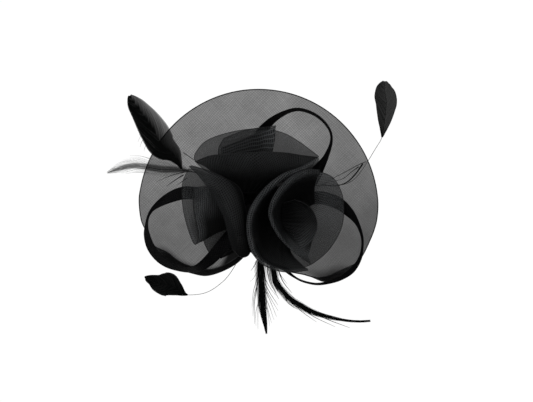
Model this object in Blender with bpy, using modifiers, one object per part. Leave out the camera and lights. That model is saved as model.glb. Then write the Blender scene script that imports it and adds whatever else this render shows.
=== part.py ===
"""Fascinator headpiece: a gathered crin disc with three crin loops, an upper leaf, two crin flowers
and dyed feathers on a felt base, with a combined hair clip and brooch pin behind it.

Metres, +Z up. The front faces -Y. The origin is the centre of the felt base's back face, where the
piece sits on the hair. Points and sizes are written in millimetres, as (right, back, up).
"""
import math

import bmesh
import bpy
import numpy as np
from mathutils import Vector

MM = 0.001
CRIN = 0.5               # thickness of a crin sheet
BRAID_WIDTH = 13.0       # crin braid of the three loops

VEIL_CENTRE = (8.5, -4.0)
VEIL_RADIUS = 118.5
GATHER = (0.0, -4.0)
GATHER_RADIUS = 5.0
GATHER_DEPTH = -7.0
VEIL_DISH = -7.0         # how far the rim stands forward of the gather
VEIL_WAVE = 1.5
CURL_LENGTH = (6.0, 20.0)  # edge strip that curls forward: at its least, and on the lower lobes
CURL_ANGLE = 3.4
RIM_CORD_RADIUS = 0.45

FELT_RADIUS = 33.0
FELT_THICKNESS = 1.6
FELT_GAP = 0.4

PLATE_RADIUS = 15.0
PLATE_CENTRE_Z = 6.0
PLATE_BACK = 0.3         # the finding's plate starts this far behind the felt
STRIP = 0.8              # sheet steel
STRIP_BACK = 1.4
CLIP_Z = 3.0
CLIP_WIDTH = 8.0
JAW_WIDTH = 5.4
CLIP_PIVOT = (8.0, 6.0)
PIN_Z = 14.0
PIN_BACK = 4.2
BROOCH_HINGE_X = 16.0
PIN_RADIUS = 0.45


def smooth(points, per_span=16):
    """A dense Catmull-Rom curve through the points, one row each."""
    p = np.array(points, float)
    p = np.vstack([2 * p[0] - p[1], p, 2 * p[-1] - p[-2]])
    rows = [p[1]]
    for a, b, c, d in zip(p, p[1:], p[2:], p[3:]):
        for t in np.linspace(0, 1, per_span + 1)[1:]:
            rows.append(b + 0.5 * t * (c - a + t * (2 * a - 5 * b + 4 * c - d + t * (3 * (b - c) + d - a))))
    return np.array(rows)


def even(points, count):
    """count rows at equal steps along the smooth curve; columns after the third follow along."""
    rows = smooth(points)
    steps = np.linalg.norm(np.diff(rows[:, :3], axis=0), axis=1)
    run = np.concatenate([[0], np.cumsum(steps)])
    at = np.linspace(0, run[-1], count)
    return np.stack([np.interp(at, run, rows[:, k]) for k in range(rows.shape[1])], axis=1)


def unit(v):
    return v / np.linalg.norm(v)


def finish(obj, material, collection):
    obj.data.materials.clear()
    obj.data.materials.append(material)
    for holder in list(obj.users_collection):
        holder.objects.unlink(obj)
    collection.objects.link(obj)
    return obj


def material(name, colour, roughness, metallic=0.0):
    mat = bpy.data.materials.new(name)
    mat.use_nodes = True
    shader = mat.node_tree.nodes["Principled BSDF"]
    shader.inputs["Base Color"].default_value = (*colour, 1.0)
    shader.inputs["Roughness"].default_value = roughness
    shader.inputs["Metallic"].default_value = metallic
    return mat


def collection(name):
    made = bpy.data.collections.new(name)
    bpy.context.scene.collection.children.link(made)
    return made


def sheet(name, grid, thickness=CRIN):
    """A grid primitive moved onto grid[i][j] and given thickness by Solidify."""
    along, across = len(grid), len(grid[0])
    bm = bmesh.new()
    bmesh.ops.create_grid(bm, x_segments=along - 1, y_segments=across - 1, size=1.0)
    for vert in bm.verts:
        i = round((vert.co.x + 1) / 2 * (along - 1))
        j = round((vert.co.y + 1) / 2 * (across - 1))
        vert.co = Vector(grid[i][j]) * MM
    mesh = bpy.data.meshes.new(name)
    bm.to_mesh(mesh)
    bm.free()
    mesh.shade_smooth()
    obj = bpy.data.objects.new(name, mesh)
    solid = obj.modifiers.new("Thickness", "SOLIDIFY")
    solid.thickness = thickness * MM
    solid.offset = 0.0
    return finish(obj, MATERIALS["crin"], PARTS)


def loft_grid(stations, along, across):
    """A grid through edge curves: the first index runs along them, the second from edge to edge."""
    edges = [even(points, along) for points in stations]
    return np.array([even([edge[i] for edge in edges], across) for i in range(along)])


def roll_edge(grid, radii, angle, steps, side):
    """The grid with its last edge rolled over towards side(point); radii run along the edge."""
    rolled = []
    spaced = np.interp(np.linspace(0, 1, len(grid)), np.linspace(0, 1, len(radii)), radii)
    for row, radius in zip(grid, spaced):
        ahead = unit(row[-1] - row[-2])
        over = np.array(side(row[-1]), float)
        over = unit(over - ahead * over.dot(ahead))
        arc = [
            row[-1] + radius * (math.sin(a) * ahead + (1 - math.cos(a)) * over)
            for a in np.linspace(0, angle, steps + 1)[1:]
        ]
        rolled.append(np.vstack([row, arc]))
    return np.array(rolled)


def tube(name, points, radius, mat="thread", sides=1):
    """A POLY curve with a round bevel and closed ends."""
    curve = bpy.data.curves.new(name, "CURVE")
    curve.dimensions = "3D"
    curve.bevel_depth = radius * MM
    curve.bevel_resolution = sides
    curve.use_fill_caps = True
    spline = curve.splines.new("POLY")
    spline.points.add(len(points) - 1)
    for point, place in zip(spline.points, points):
        point.co = (*(Vector(place[:3]) * MM), 1.0)
    return finish(bpy.data.objects.new(name, curve), MATERIALS[mat], PARTS)


def turned(name, profile, centre, axis, mat="steel", segments=20):
    """A profile of (radius, height), from top to bottom, turned about an axis through centre."""
    bm = bmesh.new()
    verts = [bm.verts.new((r * MM, 0, h * MM)) for r, h in profile]
    for a, b in zip(verts, verts[1:]):
        bm.edges.new((a, b))
    mesh = bpy.data.meshes.new(name)
    bm.to_mesh(mesh)
    bm.free()
    obj = bpy.data.objects.new(name, mesh)
    obj.location = Vector(centre) * MM
    obj.rotation_euler = Vector((0, 0, 1)).rotation_difference(Vector(axis)).to_euler()
    screw = obj.modifiers.new("Turn", "SCREW")
    screw.steps = screw.render_steps = segments
    screw.use_merge_vertices = True
    screw.merge_threshold = 0.00001
    return finish(obj, MATERIALS[mat], PARTS)


# Felt base ---------------------------------------------------------------------------------------
def felt_disc(name, back):
    front = back - FELT_THICKNESS
    edge = 0.3
    profile = [
        (0, -front), (FELT_RADIUS - edge, -front), (FELT_RADIUS, -front - edge),
        (FELT_RADIUS, -back + edge), (FELT_RADIUS - edge, -back), (0, -back),
    ]
    turned(name, profile, (0, 0, 0), (0, -1, 0), "felt", 48)


def felt_base():
    felt_disc("felt_base_back", 0.0)
    felt_disc("felt_base_front", -FELT_THICKNESS - FELT_GAP)


# Veil --------------------------------------------------------------------------------------------
LEFT_LOBE = [
    (-0.8, -46), (-12, -57.5), (-27, -66), (-43, -70.5), (-58, -68), (-73, -62.5), (-85.5, -53), (-95.5, -41),
    (-101.5, -28), (-107.5, -15),
]
RIGHT_LOBE = [
    (125.8, -14), (122.8, -25.5), (118, -37), (112, -49), (104.5, -60), (92.5, -70.5), (81, -76), (72, -76),
    (63, -72.5), (54, -69), (39, -66), (20, -59.5), (6, -51), (0.8, -46),
]


def veil_outline():
    """The rim as seen from the front, from the notch round the left lobe, the top and the right lobe."""
    arc = [
        (VEIL_CENTRE[0] + VEIL_RADIUS * math.cos(a), VEIL_CENTRE[1] + VEIL_RADIUS * math.sin(a))
        for a in np.radians(np.linspace(176, 2, 27))
    ]
    return [(x, 0, z) for x, z in LEFT_LOBE + arc + RIGHT_LOBE]


def ramp(value, low, high):
    t = min(max((value - low) / (high - low), 0), 1)
    return t * t * (3 - 2 * t)


def curl_share(angle):
    """How fully the edge is curled at an angle in degrees about the gather: 1 on the lobes."""
    left = ramp(angle, -170, -150) if angle < -90 else 0
    right = ramp(angle, -56, -42) * (1 - ramp(angle, -38, -12)) if angle > -90 else 0
    return left + right


def veil_grid(along, across, curl_steps):
    grid = []
    for x, _, z in even(veil_outline(), along):
        reach = math.hypot(x - GATHER[0], z - GATHER[1])
        angle = math.atan2(z - GATHER[1], x - GATHER[0])
        out = np.array([math.cos(angle), 0, math.sin(angle)])
        share = curl_share(math.degrees(angle))
        bend = 0.1 + CURL_ANGLE * share
        curl_radius = (CURL_LENGTH[0] + share * (CURL_LENGTH[1] - CURL_LENGTH[0])) / bend
        flat = reach - curl_radius * math.sin(min(bend, math.pi / 2))
        row = []
        for r in np.linspace(GATHER_RADIUS, flat, across):
            spread = (r / VEIL_RADIUS) ** 2
            depth = GATHER_DEPTH + spread * (VEIL_DISH + VEIL_WAVE * math.sin(3 * angle + 1))
            row.append(np.array([GATHER[0], depth, GATHER[1]]) + r * out)
        for a in np.linspace(0, bend, curl_steps + 1)[1:]:
            forward = np.array([0, -curl_radius * (1 - math.cos(a)), 0])
            row.append(row[across - 1] + curl_radius * math.sin(a) * out + forward)
        grid.append(np.array(row))
    return np.array(grid)


def veil():
    grid = veil_grid(60, 5, 4)
    sheet("veil_disc", grid)
    offset = CRIN / 2 + RIM_CORD_RADIUS + 0.6
    rim = [row[-1] + offset * unit(row[-1] - row[-2]) for row in grid]
    tube("veil_rim_cord", rim, RIM_CORD_RADIUS, "crin", 0)


# Loops: rows are (x, y, z, face), face in degrees, 90 where the braid faces the front ------------
UPPER_LOOP = [
    (0, -10, 22, 90), (4, -12.5, 46, 88), (9, -14.5, 67, 62), (19, -18.5, 81, 36),
    (33, -20.5, 90.5, 20), (47, -22.5, 94.5, 13), (61, -23, 91, 11), (72, -23, 83.5, 9),
    (79.5, -22, 73, 8), (80.5, -20, 62, 11), (75.5, -18, 48, 24), (69.5, -15.5, 38, 48),
    (64, -14.5, 29, 78), (59, -14.2, 21, 90),
]
LEFT_LOOP = [
    (-6, -10, -4, 90), (-22, -11, 3, 90), (-40, -12.5, 8, 90), (-58, -15, 12, 90), (-70, -17, 11, 74),
    (-84, -20, 5, 46), (-95, -24, -3, 22), (-100, -28, -11, 14), (-101.5, -33, -20, 18),
    (-101, -36, -29, 32), (-97.4, -37, -40.5, 42), (-90.5, -37, -50.5, 42), (-81.5, -36, -57.5, 38),
    (-70, -35, -62, 30), (-58, -33, -63.5, 30), (-48, -28, -60.5, 44), (-38, -21, -52.5, 66),
    (-27, -16, -40, 88), (-13, -14.5, -23, 90),
]
RIGHT_LOOP = [
    (38, -10.5, 2, 90), (56, -12, 6, 90), (72, -13.5, 7, 90), (87, -17, 2, 70), (98, -21, -7, 44),
    (106, -26, -18, 18), (110.5, -31, -31, 9), (110.5, -35, -43, 8), (107.5, -37, -54, 14),
    (100, -37, -64.5, 22), (89, -35, -72, 17), (77, -31, -76.3, 11), (65.5, -26, -77.9, 8),
    (53, -22, -75.5, 7), (44, -21, -71, 8), (37, -19.5, -65, 20), (30, -15, -54, 60),
    (22, -11.5, -40, 90), (14, -11, -27, 90),
]


def braid_grid(path, along, across):
    """A strip of BRAID_WIDTH that twists along its path."""
    rows = even(path, along)
    ahead = np.gradient(rows[:, :3], axis=0)
    grid = []
    for (x, y, z, face), step in zip(rows, ahead):
        sideways = unit(np.array([step[2], 0, -step[0]]))
        turn = math.radians(face)
        half = BRAID_WIDTH / 2 * (math.sin(turn) * sideways + math.cos(turn) * np.array([0, 1, 0]))
        grid.append([np.array([x, y, z]) + s * half for s in np.linspace(-1, 1, across)])
    return np.array(grid)


def loops():
    for name, path, along in (
        ("loop_upper", UPPER_LOOP, 26), ("loop_left", LEFT_LOOP, 34), ("loop_right", RIGHT_LOOP, 34),
    ):
        sheet(name, braid_grid(path, along, 3))


# Upper leaf --------------------------------------------------------------------------------------
UPPER_BACK = [
    [(-14, -13, 14), (0, -13, 16), (16, -13, 16)],
    [(-38, -15, 30), (-24, -16.5, 40), (10, -16.5, 46), (40, -16.5, 42), (54, -16, 33)],
    [(-49, -18, 38), (-54.4, -18, 44.5), (-53.6, -18, 52), (-42.5, -19, 64), (-18.7, -20.5, 72.2),
     (8, -22.5, 75.6), (30, -22, 72.4), (47.4, -19, 63.7), (68.3, -16.5, 48.3)],
]
UPPER_FRONT = [
    [(-22, -18, 14), (-4, -18, 12), (16, -18, 14)],
    [(-38, -27, 34), (-12, -31, 32), (18, -30.5, 33), (50, -25.5, 36)],
    [(-54, -23, 43), (-39.2, -29, 48.6), (-24.4, -32, 49.8), (-9.6, -33.5, 51.2), (12, -34, 52),
     (34, -31.5, 51.6), (50, -25.5, 49.3), (67.5, -20, 47.3)],
]
UPPER_TAB = [
    [(-27, -25, 38), (-30.6, -25, 46), (-30.8, -25, 56), (-25.5, -25, 66)],
    [(-4, -25, 38), (-4, -25, 52), (-4, -25, 63), (-4, -25, 74)],
    [(18, -25, 38), (20, -25, 50), (22, -25, 64), (23, -25, 78)],
    [(20, -27, 38), (21.5, -27, 50), (24, -27, 64), (25, -27, 78)],
    [(18, -29, 38), (20, -29, 50), (22, -29, 63), (23, -29, 76)],
    [(-4, -29.5, 38), (-4, -29.5, 47), (-3, -29.5, 57), (-1, -29.5, 67)],
    [(-22, -29.5, 40), (-25, -29.5, 45), (-27, -29.5, 50), (-28, -29.5, 56)],
]


def upper_leaf():
    sheet("upper_petal_back", loft_grid(UPPER_BACK, 12, 6))
    sheet("upper_petal_front", loft_grid(UPPER_FRONT, 12, 6))
    sheet("upper_tab", loft_grid(UPPER_TAB, 6, 14))


# Left flower -------------------------------------------------------------------------------------
LEFT_PETAL = [
    [(-61, -18, 36), (-50, -17, 34), (-36, -16, 28), (-22, -15, 20)],
    [(-67, -20, 20), (-52, -19, 18), (-38, -18, 14), (-22, -17, 8)],
    [(-66, -21, -4), (-52, -20, -6), (-38, -19, -8), (-22, -18, -8)],
    [(-60, -22, -27), (-48, -21, -25), (-36, -20, -20), (-22, -19, -17)],
    [(-54, -24.5, -39), (-45, -23.5, -35), (-34, -22.5, -29), (-22, -21, -24)],
    [(-51, -27, -28), (-43, -26, -25), (-33, -25, -20), (-22, -23, -17)],
    [(-55.5, -27, -4), (-45, -26, -6), (-34, -25, -8), (-22, -23, -8)],
    [(-56, -26, 17), (-44, -25, 18), (-34, -23, 14), (-22, -21, 8)],
]
LEFT_CONE = [
    [(-60, -27, 38), (-51, -29, 29.6), (-42, -31, 17.8), (-33.2, -32, 3), (-26, -32, -12), (-21.5, -32, -29),
     (-17, -31, -44)],
    [(-58, -29, 39), (-43, -34, 30), (-29, -39, 11), (-20, -41, -10), (-13, -41, -30), (-9, -36, -51)],
    [(-56, -29, 39), (-34, -35, 32), (-18, -39, 20), (-10, -41, 0), (-6, -41, -22), (-2, -36, -50)],
    [(-53, -27, 38), (-24, -30, 27), (-10, -32, 17), (-5, -33, 2), (-2, -34, -18), (2, -33, -44)],
]
LEFT_TAIL = [
    [(-42, -11.5, -16), (-16, -11.5, -12)],
    [(-46.5, -12, -33), (-15, -12, -26)],
    [(-38, -13, -50.5), (-12, -12.5, -42)],
    [(-28, -13, -53), (-11, -12, -45)],
]


def left_flower():
    sheet("left_petal", loft_grid(LEFT_PETAL, 7, 18))
    sheet("left_cone", loft_grid(LEFT_CONE, 14, 8))
    sheet("left_tail", loft_grid(LEFT_TAIL, 5, 6))


# Right rose --------------------------------------------------------------------------------------
ROSE_MIDDLE = (54, -16)
ROSE_BACK = [
    [(14, -15, 2), (12, -15, -12), (14, -15, -26)],
    [(40, -17, 22), (52, -18, 0), (54, -18, -16), (48, -18, -36), (30, -17, -46)],
    [(44, -22, 36), (68, -24, 33), (82, -25, 27), (90, -25, 14), (93, -24, -1), (91, -24, -21),
     (82, -24, -39), (70, -24, -52), (55, -24, -61), (38, -22, -62)],
]
ROSE_OUTER = [
    [(50, -20, 12), (40, -20, -1), (35, -20, -14), (36, -20, -26), (38, -20, -38)],
    [(54, -22, 26), (38, -22.5, 18), (26, -23, 5), (20, -23, -10), (21, -23, -25), (28, -22.5, -38),
     (42, -22, -49)],
    [(64, -25, 38), (49, -29, 28), (35.5, -32, 22), (22, -33.5, 12.5), (13, -34, 1), (8, -34, -12),
     (7.5, -34, -25), (10, -33, -40), (18, -31, -52), (33, -28, -59), (53, -26, -60)],
    [(67, -29, 41.5), (49.6, -33, 31), (36, -38, 25.4), (22.3, -42, 15.3), (11.3, -44, 3.6), (4.5, -44, -9),
     (2.5, -44, -20), (3.5, -43, -34), (7.2, -41, -45.5), (16, -38, -55.5), (29, -34, -61.5),
     (43, -31, -63.5), (57, -29, -62.5)],
]
ROSE_INNER = [
    [(64, -26, 2), (56, -26, -5), (54, -26, -16), (57, -26, -26), (62, -26, -32)],
    [(64, -28, 17), (52, -28.5, 14), (43, -29, 5), (39, -29, -8), (41, -29, -22), (49, -29, -34),
     (60, -28, -42)],
    [(66, -33, 26), (55, -35, 24), (43, -37, 18.5), (33, -39, 8), (28, -40, -5), (29.5, -40, -17),
     (35, -39, -28), (45, -36, -38), (58, -31, -49)],
    [(68, -36, 29.5), (58.5, -41, 28.7), (45.1, -46, 22.9), (34.6, -49, 13.7), (26.7, -51, 3),
     (22.9, -52, -7.5), (24.5, -51.5, -16.5), (28.6, -50, -25.5), (35.6, -46, -35.7), (44.7, -40, -45),
     (53, -33, -52), (60, -28, -57)],
]
ROSE_CORE = [
    [(33, -38, 2), (31, -38, -8), (33, -38.5, -20), (40, -39.5, -29.5)],
    [(43, -36, 5), (52, -36, -2), (56, -36, -12), (57, -36, -22), (54, -36, -32), (48, -37, -39)],
    [(45.2, -41, 5), (54.2, -43, 1.6), (62, -43, -5.8), (65.9, -43, -17.2), (64.9, -43, -26.3),
     (60, -42, -36.1), (52.7, -41, -44)],
]
# Radii of the rolled edges, from the top of the petal down to its lower end
OUTER_RADII = (3.2, 3.6, 3.4, 3.2, 3.0, 2.6, 2.0, 1.2)
INNER_RADII = (3.2, 3.8, 3.6, 2.8, 2.2, 1.4, 1.0, 0.8)


def outward_from_rose(point):
    return (point[0] - ROSE_MIDDLE[0], 0, point[2] - ROSE_MIDDLE[1])


def right_rose():
    sheet("rose_back_petal", loft_grid(ROSE_BACK, 16, 6))
    outer = loft_grid(ROSE_OUTER, 16, 6)
    sheet("rose_outer_roll", roll_edge(outer, OUTER_RADII, 3.4, 5, outward_from_rose))
    inner = loft_grid(ROSE_INNER, 14, 6)
    sheet("rose_inner_roll", roll_edge(inner, INNER_RADII, 3.2, 5, outward_from_rose))
    sheet("rose_core", loft_grid(ROSE_CORE, 10, 6))


# Feathers: rows are (x, y, z, width) from the root to the tip ------------------------------------
QUILL_WIDTH = 1.2
VANE_THICKNESS = 0.8
FEATHERS = {
    "feather_upper_left": [
        (-30, -13, 22, 1.2), (-50, -14, 31, 1.2), (-66, -15.5, 35, 1.5), (-70.8, -17, 43, 8),
        (-76.5, -18, 51, 18), (-86.8, -18, 59, 27.5), (-94, -18, 71.5, 29), (-101.8, -19, 83.8, 25.5),
        (-108.4, -19, 93.2, 20.5), (-114, -19, 100.5, 16), (-117.5, -20, 106, 9), (-119, -20, 109, 3),
    ],
    "feather_left_wispy": [
        (-26, -10.3, 20, 1.2), (-45, -10.8, 30, 1.2), (-60, -12, 33.5, 3), (-72, -13, 34.8, 16),
        (-88, -14.5, 35.4, 20), (-104, -16, 37.9, 18), (-115.7, -17, 38.7, 16),
        (-125.3, -17.5, 37.1, 13.5), (-133.5, -18, 34.6, 8), (-141.7, -18, 31.8, 1.2),
    ],
    "feather_upper_right": [
        (56, -16, 19, 1), (72, -16.5, 19.5, 1), (86, -17, 20, 1), (95, -17, 21, 1), (105, -17, 27, 1),
        (116, -17, 42, 1), (124, -18, 55, 1), (130.2, -19, 65.4, 1.2), (132.2, -19, 74.3, 6.8),
        (133.5, -19.5, 84, 13.5), (134.7, -20, 95.1, 19), (135.2, -20, 102.2, 21.4),
        (134, -20, 109.3, 21.4), (133.2, -20, 115, 17.5), (133.3, -20, 119.5, 12), (133.6, -20, 123, 4),
    ],
    "feather_lower_left": [
        (-6, -5, -35, 0.9), (-11, -5.2, -50, 0.9), (-14.9, -5.5, -60.4, 0.9), (-22.8, -6, -72, 0.9),
        (-30.1, -8, -78.9, 0.9), (-38.4, -9.5, -84.7, 0.9), (-46.6, -10.5, -88, 0.9),
        (-56, -11, -89.3, 0.9), (-62.5, -11, -89.2, 2), (-66.7, -11, -87.5, 6.5),
        (-72.5, -11.5, -83.7, 14.5), (-80.2, -12, -79.5, 23.5), (-86.1, -12, -78.7, 22.5),
        (-91.9, -12, -77.3, 18), (-97.7, -12, -74.5, 11), (-102.8, -12, -73, 6),
        (-104.5, -12, -73.3, 3),
    ],
    "hackle_straight": [
        (6, -14.5, -36, 1.2), (9, -15, -50, 1.8), (10.6, -15.5, -58, 14), (11.2, -16, -72, 13),
        (11.8, -16, -88, 12), (12.8, -16, -103, 9.5), (15, -16, -116, 5), (16.5, -16, -128, 1.4),
    ],
    "hackle_curved": [
        (12, -16.5, -38, 1.2), (19, -19.5, -52, 1.8), (23, -24, -62, 13), (26.3, -24, -76, 14),
        (32.5, -23, -84.5, 12), (42, -22, -94, 12), (52, -21, -100, 11), (62, -20, -105.3, 9),
        (80, -19, -111, 5.5), (100, -18, -114.6, 3.5), (112, -18, -115, 3), (119.5, -18, -114.5, 2.5),
    ],
}
QUILLS = {
    "quill_left": [(-66, -20, 52), (-54, -21, 44), (-44, -21.5, 38), (-34, -21.5, 30)],
    "quill_right": [(115, -14.8, 43), (107, -14.8, 39.5), (95, -15, 33), (80, -15.5, 25), (60, -15.5, 12.5)],
}


def feather(name, path, along=15, sides=8):
    """A closed loft: a round quill that widens into the flat vane."""
    rows = even(path, along)
    ahead = np.gradient(rows[:, :3], axis=0)
    bm = bmesh.new()
    rings = []
    for (x, y, z, width), step in zip(rows, ahead):
        sideways = unit(np.array([step[2], 0, -step[0]]))
        through = unit(np.cross(step, sideways))
        thick = min(width, VANE_THICKNESS)
        ring = []
        for a in np.linspace(0, 2 * math.pi, sides, endpoint=False):
            offset = width / 2 * math.cos(a) * sideways + thick / 2 * math.sin(a) * through
            ring.append(bm.verts.new((np.array([x, y, z]) + offset) * MM))
        rings.append(ring)
    for near, far in zip(rings, rings[1:]):
        for k in range(sides):
            bm.faces.new((near[k], near[(k + 1) % sides], far[(k + 1) % sides], far[k]))
    bm.faces.new(rings[0])
    bm.faces.new(rings[-1])
    bmesh.ops.recalc_face_normals(bm, faces=bm.faces)
    mesh = bpy.data.meshes.new(name)
    bm.to_mesh(mesh)
    bm.free()
    finish(bpy.data.objects.new(name, mesh), MATERIALS["feather"], PARTS)


def feathers():
    for name, path in FEATHERS.items():
        feather(name, path)
    for name, path in QUILLS.items():
        tube(name, even(path, 9), QUILL_WIDTH / 3, "feather")


# Stitches ----------------------------------------------------------------------------------------
THREAD_RADIUS = 0.35
CENTRE_STITCHES = {
    "centre_stitch_upper": [(-10, -20.4, 13.5), (-3, -20, 12), (8, -20, 12.5)],
    "centre_stitch_lower": [(-12, -11.6, -18), (-4, -12.2, -24), (6, -12.4, -30)],
}


def stitches():
    for name, path in CENTRE_STITCHES.items():
        tube(name, even(path, 7), THREAD_RADIUS)
    over = PLATE_BACK + STRIP + THREAD_RADIUS + 0.3
    for count, angle in enumerate(np.radians((60, 120, 225, 315)), 1):
        path = [
            (r * math.cos(angle), back, PLATE_CENTRE_Z + r * math.sin(angle))
            for r, back in ((PLATE_RADIUS - 2, over), (PLATE_RADIUS, over), (PLATE_RADIUS + 1.2, over - 0.4),
                            (PLATE_RADIUS + 2, 0.7))
        ]
        tube(f"plate_stitch_{count}", even(path, 6), THREAD_RADIUS)


# Clip and brooch finding -------------------------------------------------------------------------
def box(name, low, high):
    """A box between two corners, made from the cube primitive."""
    bm = bmesh.new()
    bmesh.ops.create_cube(bm, size=1.0)
    low, high = np.array(low), np.array(high)
    for vert in bm.verts:
        vert.co = Vector(low + (np.array(vert.co) + 0.5) * (high - low)) * MM
    mesh = bpy.data.meshes.new(name)
    bm.to_mesh(mesh)
    bm.free()
    return bpy.data.objects.new(name, mesh)


def rod(name, start, end, radius, sides=20, end_radius=None):
    """A cylinder between two points, or a cone where it has an end radius."""
    start, end = Vector(start) * MM, Vector(end) * MM
    bm = bmesh.new()
    bmesh.ops.create_cone(
        bm, cap_ends=True, segments=sides, radius1=radius * MM, radius2=(end_radius or radius) * MM,
        depth=(end - start).length,
    )
    turn = Vector((0, 0, 1)).rotation_difference(end - start).to_matrix()
    bmesh.ops.rotate(bm, cent=(0, 0, 0), matrix=turn, verts=bm.verts)
    bmesh.ops.translate(bm, vec=(start + end) / 2, verts=bm.verts)
    mesh = bpy.data.meshes.new(name)
    bm.to_mesh(mesh)
    bm.free()
    return bpy.data.objects.new(name, mesh)


def bent_strip(name, line, thickness, z_low, z_high):
    """A strip of sheet steel: a line in the XY plane, thickened and extruded along Z."""
    points = np.array(line, float)
    steps = np.gradient(points, axis=0)
    side = np.stack([-steps[:, 1], steps[:, 0]], axis=1)
    side = thickness / 2 * side / np.linalg.norm(side, axis=1)[:, None]
    outline = list(points + side) + list(points - side)[::-1]
    bm = bmesh.new()
    face = bm.faces.new([bm.verts.new((x * MM, y * MM, z_low * MM)) for x, y in outline])
    grown = bmesh.ops.extrude_face_region(bm, geom=[face])["geom"]
    raised = [item for item in grown if isinstance(item, bmesh.types.BMVert)]
    bmesh.ops.translate(bm, vec=(0, 0, (z_high - z_low) * MM), verts=raised)
    bmesh.ops.recalc_face_normals(bm, faces=bm.faces)
    mesh = bpy.data.meshes.new(name)
    bm.to_mesh(mesh)
    bm.free()
    return bpy.data.objects.new(name, mesh)


def shaped(base, joined=(), cut=(), mat="steel"):
    """The base with the joined shapes united to it and then the cut ones taken out of it."""
    finish(base, MATERIALS[mat], PARTS)
    for operation, helpers in (("UNION", joined), ("DIFFERENCE", cut)):
        for helper in helpers:
            CUTTERS.objects.link(helper)
            helper.hide_render = True
            helper.display_type = "WIRE"
            step = base.modifiers.new(operation.title(), "BOOLEAN")
            step.operation = operation
            step.solver = "EXACT"
            step.object = helper
    return base


def about(obj, centre):
    """Moves the object's origin to a point without moving its shape."""
    place = Vector(centre) * MM
    for vert in obj.data.vertices:
        vert.co -= place
    obj.location = place


def finding_plate():
    front, back = PLATE_BACK, PLATE_BACK + STRIP
    profile = [(0, back), (PLATE_RADIUS, back), (PLATE_RADIUS, front), (0, front)]
    turned("finding_plate", profile, (0, 0, PLATE_CENTRE_Z), (0, 1, 0), segments=40)


def clip():
    pivot_x, pivot_y = CLIP_PIVOT
    low, high = CLIP_Z - CLIP_WIDTH / 2, CLIP_Z + CLIP_WIDTH / 2
    top = STRIP_BACK + STRIP
    near, far = (pivot_x - 2.2, STRIP_BACK + 0.2), (pivot_x + 2.2, pivot_y + 1.8)
    ears = [
        box(f"clip_ear_{side}", (*near, edge), (*far, edge + STRIP))
        for side, edge in (("low", low), ("high", high - STRIP))
    ]
    shaped(
        box("clip_fixed_jaw", (-24, STRIP_BACK, low), (16, top, high)),
        joined=ears,
        cut=[rod("clip_ear_hole", (pivot_x, pivot_y, low - 2), (pivot_x, pivot_y, high + 2), 0.95)],
    )
    head, shank = 1.5, 0.6
    half = CLIP_WIDTH / 2
    profile = [
        (0, half + 1), (head, half + 1), (head, half + 0.35), (shank, half + 0.35),
        (shank, -half - 0.35), (head, -half - 0.35), (head, -half - 1), (0, -half - 1),
    ]
    turned("clip_pivot", profile, (pivot_x, pivot_y, CLIP_Z), (0, 0, 1))

    jaw_low, jaw_high = CLIP_Z - JAW_WIDTH / 2, CLIP_Z + JAW_WIDTH / 2
    line = [
        (-24, 2.9), (-23, 4.6), (-20.5, 6.2), (-16, 7.2), (-4, 7.2), (3, 6.6), (pivot_x, pivot_y),
        (13, 8.0), (18, 10.2), (22.5, 12.4),
    ]
    notches = [
        box(f"jaw_notch_{k}", (-25, 2.0, z - 0.35), (-22.2, 4.2, z + 0.35))
        for k, z in enumerate((CLIP_Z - 1.3, CLIP_Z, CLIP_Z + 1.3))
    ]
    hole = rod("jaw_hole", (pivot_x, pivot_y, jaw_low - 2), (pivot_x, pivot_y, jaw_high + 2), 0.95)
    jaw = shaped(
        bent_strip("clip_moving_jaw", line, STRIP, jaw_low, jaw_high),
        joined=[rod("jaw_barrel", (pivot_x, pivot_y, jaw_low), (pivot_x, pivot_y, jaw_high), 1.9)],
        cut=[*notches, hole],
    )
    about(jaw, (pivot_x, pivot_y, CLIP_Z))
    spring = [(9, 2.8), (13, 2.8), (16.4, 2.9), (17.3, 3.5), (16.4, 4.1), (13, 4.2), (10.7, 4.5)]
    finish(
        bent_strip("clip_spring", spring, 0.4, CLIP_Z - 1.8, CLIP_Z + 1.8), MATERIALS["steel"], PARTS
    )


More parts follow.
